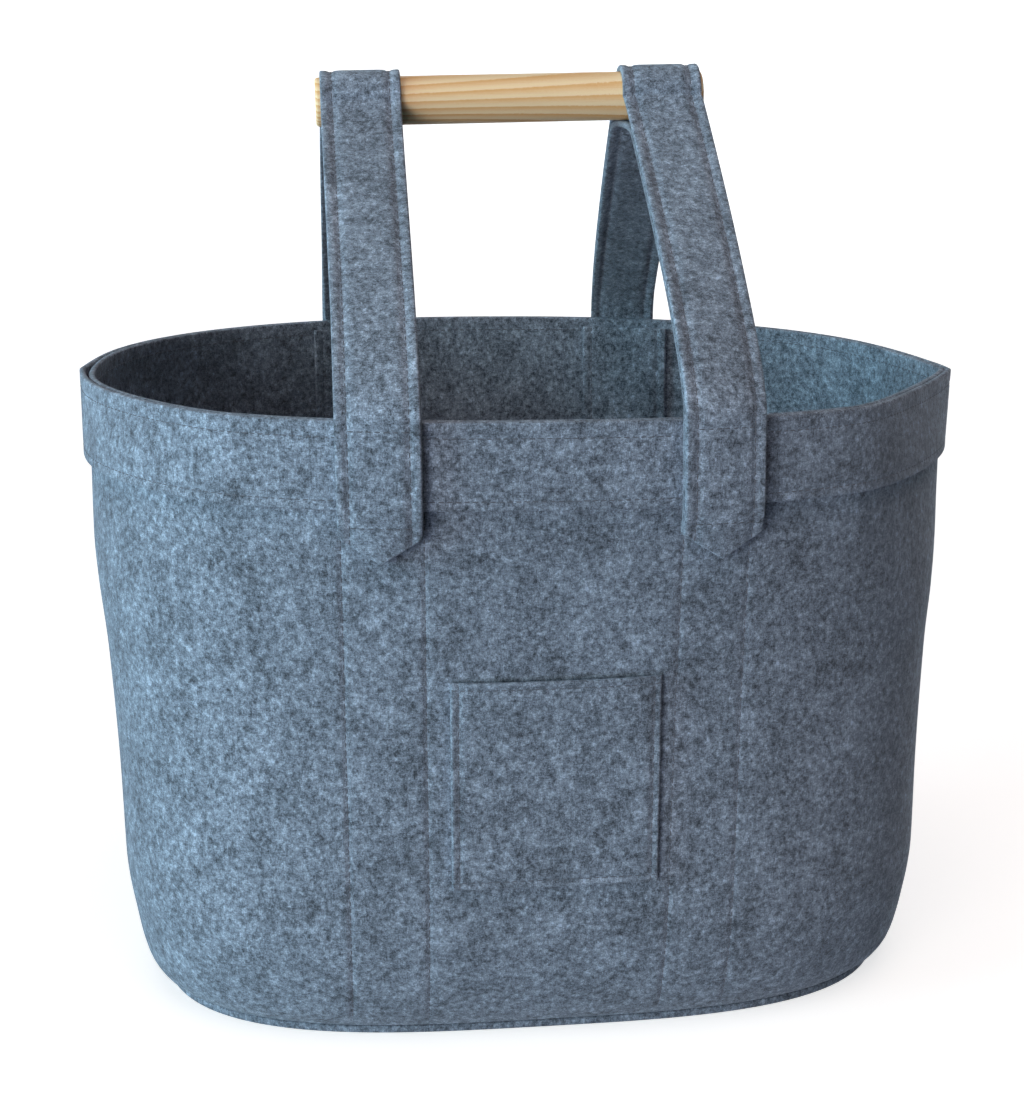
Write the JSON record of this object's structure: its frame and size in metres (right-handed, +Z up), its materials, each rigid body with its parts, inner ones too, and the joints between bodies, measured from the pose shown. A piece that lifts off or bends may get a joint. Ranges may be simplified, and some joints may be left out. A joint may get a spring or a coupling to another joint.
{
  "type": "felt basket bag",
  "caption": "Open oval felt basket bag: tapered wall with a banded rim, a patch pocket in front, and two felt straps that carry a round wooden grip over the middle.",
  "frame": {"origin": "on the floor under the middle of the oval base, which is also the middle of the bag's box seen from above", "axes": "+Z up, X along the bag's long side and the wooden dowel, the pocket on the front towards -Y"},
  "size_m": [0.4534, 0.35, 0.4655],
  "materials": {
    "felt_body": "mottled blue-grey wool felt",
    "felt_base": "mottled blue-grey wool felt, denser",
    "pine": "sanded pale pine"
  },
  "bodies": {
    "root": {"base_plate": "felt_base", "body_wall": "felt_body", "rim_band": "felt_body", "front_pocket": "felt_body", "handle_dowel": "pine", "strap_left_outer": "felt_body", "strap_left_inner": "felt_body", "strap_right_outer": "felt_body", "strap_right_inner": "felt_body", "inner_strip_front_left": "felt_body", "inner_strip_front_right": "felt_body", "inner_strip_back_left": "felt_body", "inner_strip_back_right": "felt_body"}
  },
  "joints": []
}
